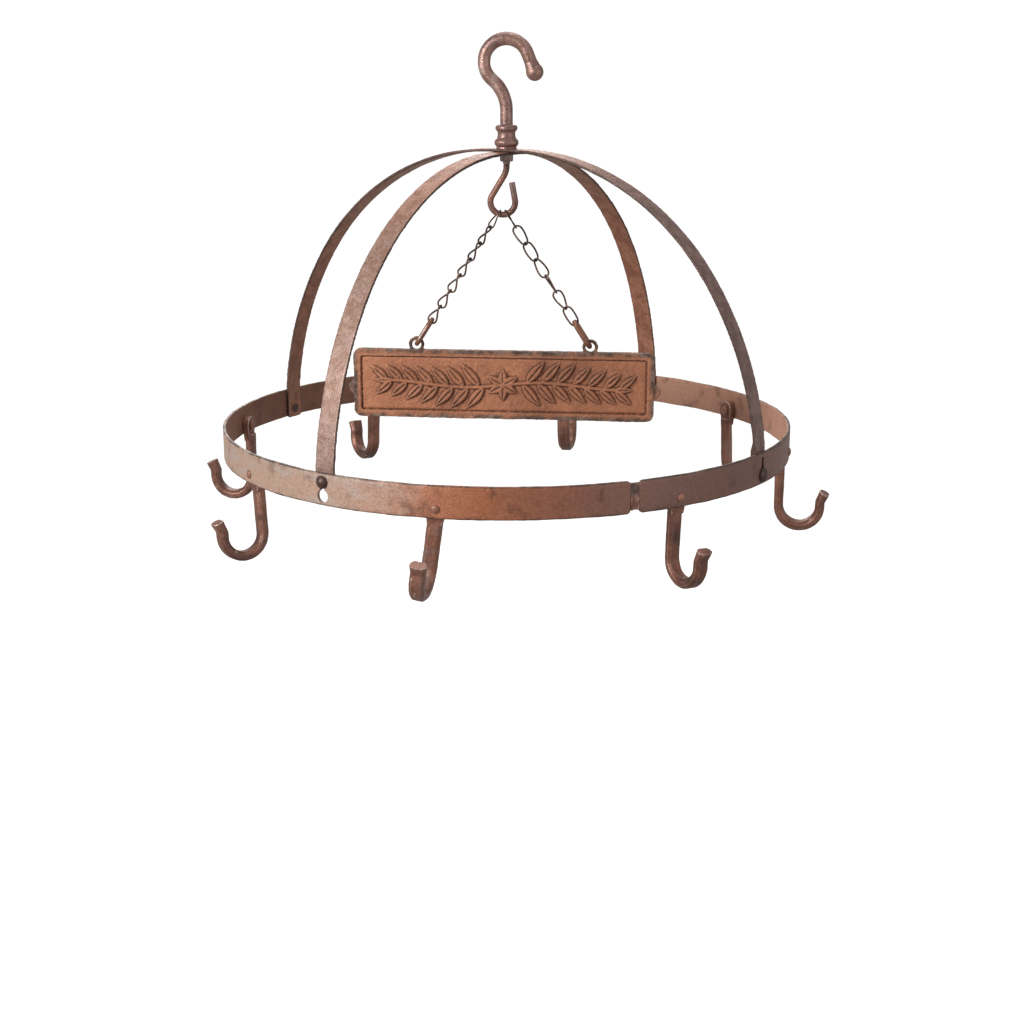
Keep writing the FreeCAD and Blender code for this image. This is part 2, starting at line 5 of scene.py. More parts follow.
import bmesh
import bpy
import numpy as np
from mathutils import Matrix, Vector

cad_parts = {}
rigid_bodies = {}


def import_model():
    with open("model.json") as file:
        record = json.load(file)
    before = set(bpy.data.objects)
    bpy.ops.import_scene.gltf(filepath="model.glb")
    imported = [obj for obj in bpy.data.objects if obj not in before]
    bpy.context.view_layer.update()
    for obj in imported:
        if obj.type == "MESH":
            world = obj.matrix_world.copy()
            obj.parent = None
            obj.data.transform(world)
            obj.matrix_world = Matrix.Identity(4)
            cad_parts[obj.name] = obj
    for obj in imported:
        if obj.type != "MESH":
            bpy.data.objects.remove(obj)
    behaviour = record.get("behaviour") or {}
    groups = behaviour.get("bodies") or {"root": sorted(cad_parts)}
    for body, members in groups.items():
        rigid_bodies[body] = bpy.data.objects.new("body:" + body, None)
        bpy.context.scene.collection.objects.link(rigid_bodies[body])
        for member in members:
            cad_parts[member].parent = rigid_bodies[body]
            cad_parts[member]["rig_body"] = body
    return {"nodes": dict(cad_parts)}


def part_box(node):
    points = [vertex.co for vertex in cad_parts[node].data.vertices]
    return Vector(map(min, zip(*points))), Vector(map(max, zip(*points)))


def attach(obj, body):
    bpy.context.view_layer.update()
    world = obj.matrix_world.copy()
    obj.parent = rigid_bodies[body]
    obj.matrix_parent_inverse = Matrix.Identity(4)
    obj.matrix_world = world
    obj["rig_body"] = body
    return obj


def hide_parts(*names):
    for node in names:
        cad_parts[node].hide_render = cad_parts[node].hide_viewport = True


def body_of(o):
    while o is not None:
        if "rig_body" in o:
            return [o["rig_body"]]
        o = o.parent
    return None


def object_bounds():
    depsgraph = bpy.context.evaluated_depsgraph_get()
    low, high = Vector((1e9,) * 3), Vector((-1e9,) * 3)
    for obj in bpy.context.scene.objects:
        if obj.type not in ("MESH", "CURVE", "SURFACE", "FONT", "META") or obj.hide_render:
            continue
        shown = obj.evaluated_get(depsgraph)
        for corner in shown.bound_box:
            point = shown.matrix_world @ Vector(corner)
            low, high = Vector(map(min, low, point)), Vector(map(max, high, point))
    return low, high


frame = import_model()
cad_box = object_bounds()
NODES = frame["nodes"]
MM = 0.001

# ---- view ----
VIEW_TURN = math.radians(6.1)        # the camera stands this far round the axis from -Y
VIEW_DISTANCE = 1.2096
VIEW_ABOVE_RING = 0.2599
VIEW_PITCH = 0.2662
VIEW_YAW = -0.0031
LENS = 60.87

# ---- ring band ----
BAND_THICK = 2.0 * MM
SPLICE_GAP = 6.0 * MM
BAND_STEPS = 620
BAND_PROFILE_STEPS = 9               # along each face of the band
BAND_EDGE = 0.45 * MM                # rounding of the band's edges
BAND_WANDER = 0.22 * MM              # unevenness of its top and bottom edges
END_CORNER = 2.6 * MM                # rounding of the band's ends at the splice
END_STATIONS = (0, 0.25, 0.6, 1.1, 1.8, 2.6, 3.6)   # sections near an end, millimetres from it
END_PINCH = 0.35 * MM                # thinning of the band's last 0.6 mm
PINCH_REACH = 0.6 * MM

# ---- weld at the splice ----
WELD_LOW = 0.85 * MM                 # the lower half swells out this far
WELD_HIGH = 0.1 * MM                 # and the upper half this far
WELD_RIDGE = 0.35 * MM
RIDGE_AT = -2.2 * MM                 # a bead beside the left end
WELD_NOTCH = 3.0 * MM                # the dip in the weld's top edge
WELD_SAG = 0.7 * MM                  # the dip in its bottom edge
WELD_LUMPS = 0.28 * MM

# ---- keyholes, as in the CAD band ----
KEY_HOLE_R = 4.2 * MM
KEY_HOLE_DROP = 15.0 * MM            # below the band's top edge
KEY_SLOT_HALF = 1.6 * MM
KEY_SLOT_DROP = 4.2 * MM

# ---- hooks ----
BORE = 2.35 * MM                     # radius of the hooks' bores in the shown skin

# ---- sign ----
SIGN_HALF = 107.0 * MM
SIGN_HEIGHT = 49.2 * MM
RIM_WIDTH = 5.0 * MM
GROOVE = 1.3 * MM                    # width of the groove along the rim's foot
GROOVE_DEPTH = 0.6 * MM
FIELD_INSET = 6.2 * MM               # the relief keeps this far inside the plate's outline
RELIEF_HEIGHT = 2.3 * MM
RELIEF_EDGE = 0.95 * MM
STEM_HALF = 1.5 * MM
STEM_SWAY = 2.1 * MM
STEM_REACH = 88.0 * MM
LEAF_PAIRS = 7
FIRST_LEAF = 13.5 * MM               # from the flower's centre to the first pair of leaves
LEAF_RUN = 66 * MM                   # from the first pair to the last
LEAF_LENGTH = (21.5 * MM, 16.5 * MM)       # first pair, last pair
LEAF_WIDTH = (7.4 * MM, 6.0 * MM)
LEAF_LEAN = (50, 40)                 # degrees from the stem
TIP_LEAF = (15 * MM, 5.2 * MM)       # length and width
PETAL = (12.5 * MM, 6.8 * MM)
FLOWER_R = 3.2 * MM
BUD_R = 1.35 * MM
BUD_OFF = 3.6 * MM                   # buds stand this far above and below the stem
CAST_SKIN = ((0.19 * MM, 420, 11), (0.16 * MM, 900, 12), (0.2 * MM, 70, 13))   # height, cells, seed

# ---- chains ----
CAD_WIRE = 0.55 * MM                 # wire radius of the CAD links
LINK_WIRE = 0.68 * MM
LINK_GROWTH = 0.09 * MM              # a link's wire centre moves out this far at each end
LINK_LOOP = 3.3 * MM
FIRST_LOOP = 4.4 * MM
LINK_TURNS = {                       # turn of each link's upper loop and twist down to its lower one
    "left": ((0, 42), (-25, 75), (-25, 80), (-20, 85), (-15, 88), (-12, 90), (-10, 90)),
    "right": ((0, 12), (76, 70), (65, 75), (42, 75), (22, -12), (85, 80), (70, 60)),
}


def body_name(node):
    return body_of(NODES[node])[0]


def noise3(points, scale, seed):
    """Smooth random values between -1 and 1 at points in metres, scale cells to the metre."""
    grid = points * scale
    base = np.floor(grid).astype(np.int64)
    part = grid - base
    ease = part * part * (3 - 2 * part)
    total = np.zeros(len(points))
    for corner in itertools.product((0, 1), repeat=3):
        cell = base + np.array(corner)
        mixed = cell[:, 0] * 73856093 ^ cell[:, 1] * 19349663 ^ cell[:, 2] * 83492791 ^ seed * 668265263
        mixed = mixed & 0xFFFFFFFF
        mixed = ((mixed ^ (mixed >> 15)) * 1274126177) & 0xFFFFFFFF
        value = ((mixed ^ (mixed >> 16)) & 0xFFFF) / 32767.5 - 1
        share = np.prod(np.where(np.array(corner) == 1, ease, 1 - ease), axis=1)
        total += value * share
    return total


# ---------------------------------------------------------------- meshes

def coordinates(mesh):
    flat = np.empty(len(mesh.vertices) * 3)
    mesh.vertices.foreach_get("co", flat)
    return flat.reshape(-1, 3)


def normals(mesh):
    flat = np.empty(len(mesh.vertices) * 3)
    mesh.vertices.foreach_get("normal", flat)
    return flat.reshape(-1, 3)


def put_back(mesh, points):
    """Give the mesh its moved points."""
    mesh.vertices.foreach_set("co", points.ravel())
    mesh.update()


def new_object(name, verts, faces):
    mesh = bpy.data.meshes.new(name)
    mesh.from_pydata([tuple(v) for v in verts], [], faces)
    mesh.update()
    made = bpy.data.objects.new(name, mesh)
    bpy.context.scene.collection.objects.link(made)
    return made


def welded_copy(node, name):
    """A new object with a CAD node's surface as one closed skin."""
    bm = bmesh.new()
    bm.from_mesh(NODES[node].data)
    bmesh.ops.remove_doubles(bm, verts=bm.verts, dist=2e-6)
    bm.verts.index_update()
    verts = [v.co.copy() for v in bm.verts]
    faces = [[v.index for v in f.verts] for f in bm.faces]
    bm.free()
    return new_object(name, verts, faces)


def bake_modifiers(obj):
    """Replace an object's mesh by what its modifiers make of it."""
    shown = obj.evaluated_get(bpy.context.evaluated_depsgraph_get())
    mesh = bpy.data.meshes.new_from_object(shown)
    obj.modifiers.clear()
    obj.data = mesh
    return mesh


def forged(node, voxel, waves, soften=2, calm_above=None):
    """A CAD node as a slightly uneven skin, each wave (height, length, seed), that is even above a height."""
    obj = welded_copy(node, node + "_forged")
    remesh = obj.modifiers.new("skin", "REMESH")
    remesh.mode = "VOXEL"
    remesh.voxel_size = voxel
    smooth = obj.modifiers.new("soften", "SMOOTH")
    smooth.iterations = soften
    smooth.factor = 0.5
    mesh = bake_modifiers(obj)
    points = coordinates(mesh)
    out = normals(mesh)
    if calm_above is not None:
        out = out * np.clip((calm_above - points[:, 2]) / (3 * MM), 0, 1)[:, None]
    for height, length, seed in waves:
        points += out * (height * noise3(points, 1 / length, seed))[:, None]
    put_back(mesh, points)
    mesh.shade_smooth()
    return obj


def clear_bore(obj, rivet, radius):
    """Open a hook's bore round its rivet, so that the skin turns free of the pin."""
    lo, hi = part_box(rivet)
    centre = np.array((lo + hi) / 2)
    out = centre * (1, 1, 0)
    out /= np.linalg.norm(out)
    points = coordinates(obj.data)
    along = (points - centre) @ out
    spoke = points - centre - along[:, None] * out
    far = np.maximum(np.linalg.norm(spoke, axis=1), 1e-6)
    points += spoke * (np.maximum(radius / far, 1) - 1)[:, None]
    put_back(obj.data, points)


def take_over(obj, node, material):
    """The piece stands for the CAD node, rides on its body and takes its finish."""
    obj.data.materials.clear()
    for each in (material if isinstance(material, (list, tuple)) else [material]):
        obj.data.materials.append(each)
    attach(obj, body_name(node))
    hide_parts(node)


def keep(node, material):
    """A CAD node whose shape is right gets its material."""
    shown = NODES[node]
    shown.data.materials.clear()
    shown.data.materials.append(material)


# ---------------------------------------------------------------- materials

def tone(r, g, b):
    """A colour from 0-255 display values."""
    def linear(c):
        c = c / 255
        return c / 12.92 if c <= 0.04045 else ((c + 0.055) / 1.055) ** 2.4
    return (linear(r), linear(g), linear(b), 1.0)


DARK_EDGE = tone(70, 52, 44)
GREY_EDGE = tone(176, 158, 150)


class Graph:
    """A material's nodes, added one at a time."""

    def __init__(self, name):
        self.material = bpy.data.materials.new(name)
        self.material.use_nodes = True
        self.tree = self.material.node_tree
        self.shader = self.tree.nodes["Principled BSDF"]
        self.place = self.node("ShaderNodeTexCoord").outputs["Object"]

    def node(self, kind, **settings):
        made = self.tree.nodes.new(kind)
        for key, value in settings.items():
            setattr(made, key, value)
        return made

    def feed(self, socket, value):
        if isinstance(value, bpy.types.NodeSocket):
            self.tree.links.new(value, socket)
        else:
            socket.default_value = value

    def stretched(self, x, y, z):
        made = self.node("ShaderNodeMapping")
        self.feed(made.inputs["Vector"], self.place)
        made.inputs["Scale"].default_value = (x, y, z)
        return made.outputs["Vector"]

    def noise(self, scale, detail=4.0, rough=0.55, place=None):
        made = self.node("ShaderNodeTexNoise")
        self.feed(made.inputs["Vector"], place or self.place)
        made.inputs["Scale"].default_value = scale
        made.inputs["Detail"].default_value = detail
        made.inputs["Roughness"].default_value = rough
        return made.outputs["Fac"]

    def band(self, value, low, high, to_low=0.0, to_high=1.0):
        made = self.node("ShaderNodeMapRange", interpolation_type="SMOOTHSTEP")
        self.feed(made.inputs["Value"], value)
        made.inputs["From Min"].default_value = low
        made.inputs["From Max"].default_value = high
        made.inputs["To Min"].default_value = to_low
        made.inputs["To Max"].default_value = to_high
        return made.outputs["Result"]

    def sums(self, how, a, b):
        made = self.node("ShaderNodeMath", operation=how)
        self.feed(made.inputs[0], a)
        self.feed(made.inputs[1], b)
        return made.outputs[0]

    def ramp(self, value, stops):
        made = self.node("ShaderNodeValToRGB")
        self.feed(made.inputs["Fac"], value)
        bar = made.color_ramp
        while len(bar.elements) < len(stops):
            bar.elements.new(0.5)
        for spot, (at, colour) in zip(bar.elements, stops):
            spot.position = at
            spot.color = colour
        return made.outputs["Color"]

    def mix(self, share, a, b, how="MIX"):
        made = self.node("ShaderNodeMix", data_type="RGBA", blend_type=how)
        self.feed(made.inputs["Factor"], share)
        self.feed(made.inputs[6], a)
        self.feed(made.inputs[7], b)
        return made.outputs[2]

    def across(self, axis):
        made = self.node("ShaderNodeSeparateXYZ")
        self.feed(made.inputs[0], self.place)
        return made.outputs[axis]

    def sharpness(self):
        return self.node("ShaderNodeNewGeometry").outputs["Pointiness"]


def blotches(tones):
    """Colour in broad patches through the tones, from dark to light."""
    def paint(g):
        broad = g.noise(16, 3)
        middle = g.noise(95, 5)
        both = g.sums("ADD", g.sums("MULTIPLY", broad, 0.6), g.sums("MULTIPLY", middle, 0.4))
        last = len(tones) - 1
        return g.ramp(both, [(0.36 + 0.28 * i / last, t) for i, t in enumerate(tones)])
    return paint


def band_paint_with_light_and_shade(g):
    """Pale with silver streaks at the left, orange rust in the middle, purplish brown at the right: partly
    the band's rust and wear, partly painted light at the left and painted shade at the right.
    """
    wander = g.sums("MULTIPLY", g.sums("SUBTRACT", g.noise(11, 4), 0.5), 0.16)
    along = g.band(g.sums("ADD", g.across("X"), wander), -0.20, 0.20)
    # the ramp from pale at the left to purplish brown at the right is partly painted light and painted shade,
    # for a key light from the left
    base = g.ramp(along, [(0.0, tone(196, 168, 150)), (0.22, tone(188, 160, 144)),
                          (0.40, tone(188, 132, 102)), (0.56, tone(174, 114, 80)),
                          (0.70, tone(150, 104, 86)), (0.9, tone(142, 106, 94))])
    streaks = g.noise(48, 5, 0.6, g.stretched(1, 1, 3.2))
    # silver streaks only at the left: partly worn metal, partly painted sheen on the side the key light comes
    # from
    left = g.band(g.across("X"), 0.0, -0.11)
    silver_wear_and_sheen = g.sums("MULTIPLY", g.band(streaks, 0.5, 0.62, 0.0, 0.75), left)
    base = g.mix(silver_wear_and_sheen, base, tone(188, 174, 166))
    stain = g.band(g.noise(60, 6, 0.62), 0.52, 0.70, 0.0, 0.6)
    base = g.mix(stain, base, tone(104, 66, 48))
    lo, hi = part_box("ring_band")
    half = (hi.z - lo.z) / 2
    from_middle = g.sums("ABSOLUTE", g.sums("SUBTRACT", g.across("Z"), (lo.z + hi.z) / 2), 0.0)
    rim = g.band(from_middle, half - 1.3 * MM, half - 0.3 * MM, 0.0, 0.85)
    broken = g.band(g.noise(120, 5), 0.38, 0.56, 0.35, 1.0)
    return g.mix(g.sums("MULTIPLY", rim, broken), base, DARK_EDGE)


def inside_paint_with_light_and_shade(g):
    """Painted shade and light: dull brown at the left of the band's inner face, which turns away from the key
    light, lighter orange-brown at the right, which faces it.
    """
    wander = g.sums("MULTIPLY", g.sums("SUBTRACT", g.noise(14, 4), 0.5), 0.14)
    along = g.band(g.sums("ADD", g.across("X"), wander), -0.16, 0.16)
    # painted shade at the left end of the ramp, painted light at the right end
    base = g.ramp(along, [(0.0, tone(146, 104, 84)), (0.5, tone(176, 130, 106)), (0.9, tone(194, 152, 130))])
    stain = g.band(g.noise(70, 5), 0.5, 0.7, 0.0, 0.5)
    return g.mix(stain, base, tone(104, 70, 54))


def strap_paint_with_sheen_and_shade(g):
    """Painted grey sheen at the front left, purplish painted shade at the front right, orange rust at the
    back.
    """
    wander = g.sums("MULTIPLY", g.sums("SUBTRACT", g.noise(16, 4), 0.5), 0.12)
    forward = g.sums("ADD", g.sums("MULTIPLY", g.across("Y"), -1.0), wander)
    patch = g.band(g.noise(130, 5, 0.6), 0.36, 0.64)
    base = g.mix(patch, tone(154, 106, 82), tone(178, 130, 106))
    # the grey is painted sheen and the purple painted shade, each laid on by position
    painted_sheen_grey = g.mix(patch, tone(164, 132, 116), tone(178, 152, 140))
    painted_shade_purple = g.mix(patch, tone(128, 100, 94), tone(152, 124, 116))
    left = g.band(g.sums("SUBTRACT", forward, g.across("X")), 0.06, 0.22)
    right = g.band(g.sums("ADD", forward, g.across("X")), 0.04, 0.16)
    return g.mix(right, g.mix(left, base, painted_sheen_grey), painted_shade_purple)


def sign_paint(g):
    """Orange-brown field inside a rim that is rubbed dark and grey at its outer edge."""
    field = blotches([tone(160, 108, 78), tone(180, 124, 90), tone(194, 138, 104)])(g)
    centre_x = (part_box("tie_link_left")[0].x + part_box("tie_link_right")[1].x) / 2
    centre_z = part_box("sign_plate")[0].z + SIGN_HEIGHT / 2
    off_x = g.sums("ABSOLUTE", g.sums("SUBTRACT", g.across("X"), centre_x), 0.0)
    off_z = g.sums("ABSOLUTE", g.sums("SUBTRACT", g.across("Z"), centre_z), 0.0)
    out_x = g.sums("SUBTRACT", off_x, SIGN_HALF)
    out_z = g.sums("SUBTRACT", off_z, SIGN_HEIGHT / 2)
    rim = g.band(g.sums("MAXIMUM", out_x, out_z), -4.4 * MM, -1.4 * MM, 0.0, 0.95)
    broken = g.band(g.noise(90, 5, 0.6), 0.36, 0.58, 0.25, 1.0)
    rubbed = g.mix(g.band(g.noise(160, 5), 0.44, 0.6), tone(84, 64, 54), tone(134, 114, 104))
    return g.mix(g.sums("MULTIPLY", rim, broken), field, rubbed)


def weld_paint(g):
    """Darker at the top of the weld, purplish brown below."""
    lo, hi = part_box("ring_splice")
    middle = (lo.z + hi.z) / 2
    share = g.band(g.across("Z"), middle - 1.5 * MM, middle + 2.5 * MM)
    low = g.mix(g.band(g.noise(260, 4), 0.42, 0.6), tone(138, 98, 82), tone(176, 134, 118))
    return g.mix(share, low, tone(112, 88, 80))


def iron(name, paint, edge, edge_at=(0.53, 0.6), edge_share=0.8, grit_and_shade_tone=(52, 34, 28), hollow_shade=0.7,
         hollow_shade_at=(0.485, 0.43), rough=0.5, metal=0.3, relief=0.1 * MM):
    """Rusted iron: paint in patches, dark grit, edges of another tone, and painted shade that darkens the
    hollows.
    """
    g = Graph(name)
    fine = g.noise(520, 6, 0.6)
    grain = g.noise(1700, 3)
    base = paint(g)
    base = g.mix(g.band(fine, 0.38, 0.68, 0.0, 0.34), g.mix(0.5, base, base, "MULTIPLY"), base)
    specks = g.band(grain, 0.58, 0.70, 0.0, 0.6)
    base = g.mix(specks, base, tone(*grit_and_shade_tone))
    sharp = g.sharpness()
    broken = g.band(g.noise(210, 4), 0.34, 0.52, 0.35, 1.0)
    worn = g.sums("MULTIPLY", g.band(sharp, *edge_at, 0.0, edge_share), broken)
    base = g.mix(worn, base, edge)
    # painted shade: concave spots, found by pointiness, are darkened towards the grit-and-shade tone
    base = g.mix(g.band(sharp, *hollow_shade_at, 0.0, hollow_shade), base, tone(*grit_and_shade_tone))
    g.feed(g.shader.inputs["Base Color"], base)
    matt = g.band(fine, 0.3, 0.7, rough - 0.09, rough + 0.14)
    g.feed(g.shader.inputs["Roughness"], g.sums("SUBTRACT", matt, g.sums("MULTIPLY", worn, 0.08)))
    g.shader.inputs["Metallic"].default_value = metal
    height = g.sums("ADD", g.sums("MULTIPLY", fine, 0.7), g.sums("MULTIPLY", grain, 0.3))
    bump = g.node("ShaderNodeBump")
    bump.inputs["Strength"].default_value = 0.7
    bump.inputs["Distance"].default_value = relief * 6
    g.feed(bump.inputs["Height"], height)
    g.feed(g.shader.inputs["Normal"], bump.outputs["Normal"])
    return g.material


def chain_paint(g):
    """Dark iron at the top of the chains, browner towards the sign."""
    top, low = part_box("chain_link_left_1")[1].z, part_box("chain_link_left_7")[0].z
    share = g.band(g.across("Z"), top, low)
    patch = g.band(g.noise(150, 4), 0.4, 0.6)
    dark = g.mix(patch, tone(54, 44, 42), tone(88, 70, 64))
    return g.mix(share, dark, g.mix(patch, tone(96, 68, 56), tone(138, 104, 88)))



MATERIALS = {
    "band": iron("band_rust_light_and_shade", band_paint_with_light_and_shade, DARK_EDGE, edge_at=(0.53, 0.6), metal=0.25, rough=0.42),
    "band_inside": iron("band_inside_rust_light_and_shade", inside_paint_with_light_and_shade, DARK_EDGE, metal=0.15, rough=0.58),
    "strap": iron("strap_rust_sheen_and_shade", strap_paint_with_sheen_and_shade, DARK_EDGE, edge_at=(0.515, 0.57), metal=0.35, rough=0.42),
    # the straps' side faces: a darker copy of the iron, painted shade
    "strap_side": iron("strap_side_painted_shade", blotches([tone(72, 54, 48), tone(98, 74, 66), tone(122, 96, 88)]),
                       DARK_EDGE, metal=0.35, rough=0.42),
    "stud": iron("stud_iron", blotches([tone(60, 46, 42), tone(92, 68, 60), tone(120, 86, 74)]),
                 tone(160, 136, 126), edge_at=(0.52, 0.57), metal=0.45, rough=0.36),
    "rivet": iron("rivet_rust", blotches([tone(124, 84, 68), tone(158, 112, 92), tone(180, 138, 118)]),
                  DARK_EDGE, metal=0.3, rough=0.42),
    "drying_hook": iron("hook_rust", blotches([tone(96, 64, 54), tone(130, 88, 72), tone(154, 108, 88),
                                               tone(144, 116, 106)]),
                        GREY_EDGE, edge_at=(0.512, 0.55), edge_share=0.9, metal=0.4, rough=0.36),
    "top_hook": iron("top_hook_rust", blotches([tone(112, 88, 84), tone(148, 120, 114), tone(170, 136, 124),
                                                tone(200, 182, 176)]),
                     GREY_EDGE, edge_at=(0.53, 0.6), metal=0.55, rough=0.34),
    "lower_hook": iron("lower_hook_rust",
                       blotches([tone(104, 78, 72), tone(136, 100, 88), tone(166, 122, 104)]),
                       GREY_EDGE, metal=0.35, rough=0.4),
    "chain": iron("chain_iron", chain_paint, tone(164, 146, 138), metal=0.6, rough=0.34, relief=0.03 * MM),
    "tie": iron("tie_rust", blotches([tone(120, 82, 64), tone(152, 108, 86), tone(170, 124, 100)]),
                GREY_EDGE, metal=0.3, rough=0.46),
    # the sign's hollows round its raised sprigs get the strongest painted shade
    "sign": iron("sign_rust", sign_paint, tone(120, 98, 84), edge_at=(0.53, 0.59), edge_share=0.6,
                 grit_and_shade_tone=(60, 36, 24), hollow_shade_at=(0.495, 0.45),
                 hollow_shade=0.95, metal=0.1, rough=0.56, relief=0.18 * MM),
    "weld": iron("weld_iron", weld_paint, tone(190, 152, 136), metal=0.35, rough=0.42),
}


# ---------------------------------------------------------------- ring band

def band_profile(half_height, thick):
    """(height, depth) round the bar's section, with rounded edges, from the outer face upwards."""
    h = half_height - BAND_EDGE
    t = thick - BAND_EDGE
    e = BAND_EDGE
    face = [(-h + 2 * h * i / BAND_PROFILE_STEPS, 0.0) for i in range(BAND_PROFILE_STEPS + 1)]
    turns = [math.radians(a) for a in (30, 60)]
    top_out = [(h + e * math.sin(a), e - e * math.cos(a)) for a in turns] + [(h + e, e)]
    top_in = [(h + e, t)] + [(h + e * math.cos(a), t + e * math.sin(a)) for a in turns]
    back = [(z, thick) for z, _ in reversed(face)]
    low_in = [(-h - e * math.sin(a), t + e * math.cos(a)) for a in turns] + [(-h - e, t)]
    low_out = [(-h - e, e)] + [(-h - e * math.cos(a), e - e * math.sin(a)) for a in turns]
    return face + top_out + top_in + back + low_in + low_out


def splice_angle():
    lo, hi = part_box("ring_splice")
    return math.atan2((lo.y + hi.y) / 2, (lo.x + hi.x) / 2)


def ring_sections(outer, middle, half_height):
    """The band's sections one after another from one side of the splice round to the other."""
    half_gap = SPLICE_GAP / 2 / outer
    start = splice_angle() + half_gap
    sweep = 2 * math.pi - 2 * half_gap
    profile = band_profile(half_height, BAND_THICK)
    ends = [v * MM / outer / sweep for v in END_STATIONS]
    inner = [ends[-1] + (1 - 2 * ends[-1]) * i / BAND_STEPS for i in range(1, BAND_STEPS)]
    sections = []
    for share in ends + inner + [1 - e for e in reversed(ends)]:
        angle = start + sweep * share
        from_end = min(share, 1 - share) * sweep * outer
        short = max(0.0, END_CORNER - from_end)
        rounding = END_CORNER - math.sqrt(max(END_CORNER ** 2 - short ** 2, 0))
        squeeze = 1 - rounding / half_height
        pinch = END_PINCH * max(0.0, 1 - from_end / PINCH_REACH)
        section = []
        for z, depth in profile:
            r = outer - (depth + pinch * (1 - 2 * depth / BAND_THICK))
            section.append((r * math.cos(angle), r * math.sin(angle), middle + z * squeeze))
        sections.append(section)
    return sections


def skin_over(sections):
    """Faces that join a row of sections and close its two ends."""
    count = len(sections[0])
    last = (len(sections) - 1) * count
    faces = []
    for i in range(0, last, count):
        for j in range(count):
            k = (j + 1) % count
            faces.append((i + count + j, i + count + k, i + k, i + j))
    return faces + [tuple(range(count)), tuple(last + j for j in range(count - 1, -1, -1))]


def ring_band():
    """The flat bar bent to a ring, with worn edges, rounded ends and four keyholes."""
    lo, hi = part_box("ring_band")
    outer = (hi.x - lo.x) / 2
    middle = (lo.z + hi.z) / 2
    half_height = (hi.z - lo.z) / 2
    sections = ring_sections(outer, middle, half_height)
    obj = new_object("ring_band_forged", itertools.chain(*sections), skin_over(sections))
    points = coordinates(obj.data)
    height = (points[:, 2] - middle) / half_height
    points[:, 2] += BAND_WANDER * height * noise3(points * (1, 1, 0), 60, 4)
    points[:, 2] += 0.5 * BAND_WANDER * height * noise3(points * (1, 1, 0), 260, 5)
    put_back(obj.data, points)
    cut_keyholes(obj, outer, hi.z)
    obj.data.shade_smooth()
    take_over(obj, "ring_band", [MATERIALS["band"], MATERIALS["band_inside"]])
    paint_inside(obj, outer - BAND_THICK / 2)
    soft_edges(obj)


def soft_edges(obj):
    """Smooth shading that breaks at sharp edges."""
    bm = bmesh.new()
    bm.from_mesh(obj.data)
    for edge in bm.edges:
        edge.smooth = len(edge.link_faces) == 2 and edge.calc_face_angle(0.0) < math.radians(38)
    bm.to_mesh(obj.data)
    bm.free()


def cut_keyholes(obj, outer, top):
    """The four keyholes that the straps' studs hang in."""
    for index in range(1, 5):
        lo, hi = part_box(f"strap_stud_{index}")
        angle = math.atan2((lo.y + hi.y) / 2, (lo.x + hi.x) / 2)
        cutter = keyhole_cutter(outer, top)
        cutter.rotation_euler = (0, 0, angle)
        boolean = obj.modifiers.new("keyhole", "BOOLEAN")
        boolean.operation = "DIFFERENCE"
        boolean.solver = "EXACT"
        boolean.object = cutter
        bpy.context.view_layer.update()
        bake_modifiers(obj)
        bpy.data.objects.remove(cutter)


def keyhole_cutter(outer, top):
    """A prism along +X with a keyhole's outline: a round hole and a slot above it."""
    gap = math.asin(KEY_SLOT_HALF / KEY_HOLE_R)
    turns = 28
    outline = []
    for i in range(turns + 1):
        a = math.pi / 2 + gap + (2 * math.pi - 2 * gap) * i / turns
        outline.append((KEY_HOLE_R * math.cos(a), top - KEY_HOLE_DROP + KEY_HOLE_R * math.sin(a)))
    for i in range(9):
        a = math.pi * i / 8
        outline.append((KEY_SLOT_HALF * math.cos(a), top - KEY_SLOT_DROP + KEY_SLOT_HALF * math.sin(a)))
    near, far = outer - 6 * MM, outer + 4 * MM
    count = len(outline)
    verts = [(near, y, z) for y, z in outline] + [(far, y, z) for y, z in outline]
    faces = [(i, (i + 1) % count, count + (i + 1) % count, count + i) for i in range(count)]
    faces += [tuple(range(count - 1, -1, -1)), tuple(range(count, 2 * count))]
    obj = new_object("keyhole_cutter", verts, faces)
    bm = bmesh.new()
    bm.from_mesh(obj.data)
    bmesh.ops.recalc_face_normals(bm, faces=bm.faces)
    bm.to_mesh(obj.data)
    bm.free()
    return obj


def paint_inside(obj, radius):
    """The second material goes on the faces that look at the ring's axis."""
    for face in obj.data.polygons:
        flat = Vector((face.center.x, face.center.y, 0))
        face.material_index = int(flat.length < radius and face.normal.dot(flat.normalized()) < -0.5)


def dome_strap(node, stud):
    """A strap whose cut side faces take a darker material, painted shade. The stud tells which way the strap
    runs.
    """
    obj = forged(node, 0.7 * MM, [(0.12 * MM, 8 * MM, 31), (0.06 * MM, 3 * MM, 32)])
    take_over(obj, node, [MATERIALS["strap"], MATERIALS["strap_side"]])
    lo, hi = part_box(stud)
    across = Vector((-(lo.y + hi.y), lo.x + hi.x, 0)).normalized()
    for face in obj.data.polygons:
        face.material_index = int(abs(face.normal.dot(across)) > 0.6)


# ---------------------------------------------------------------- splice

